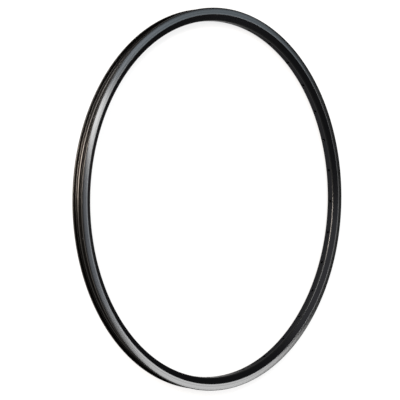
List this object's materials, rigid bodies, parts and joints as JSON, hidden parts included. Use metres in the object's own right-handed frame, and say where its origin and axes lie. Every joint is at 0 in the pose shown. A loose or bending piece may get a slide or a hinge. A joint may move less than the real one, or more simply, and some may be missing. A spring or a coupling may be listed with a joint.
{
  "type": "bicycle rim",
  "caption": "Hollow ring that carries a bicycle tyre: hooked flanges, a dropped tyre well, flat brake tracks, radial spoke holes and a valve hole.",
  "frame": {"origin": "the wheel's centre, on the axle line and in the rim's middle plane", "axes": "+Z along the axle line, with the rim lying flat on one brake track; +X through a spoke hole"},
  "size_m": [0.6339, 0.634, 0.0226],
  "materials": {
    "black_anodised_aluminium": "satin black anodised, with fine turning marks on the brake tracks"
  },
  "bodies": {
    "root": {"rim": "black_anodised_aluminium"}
  },
  "joints": []
}
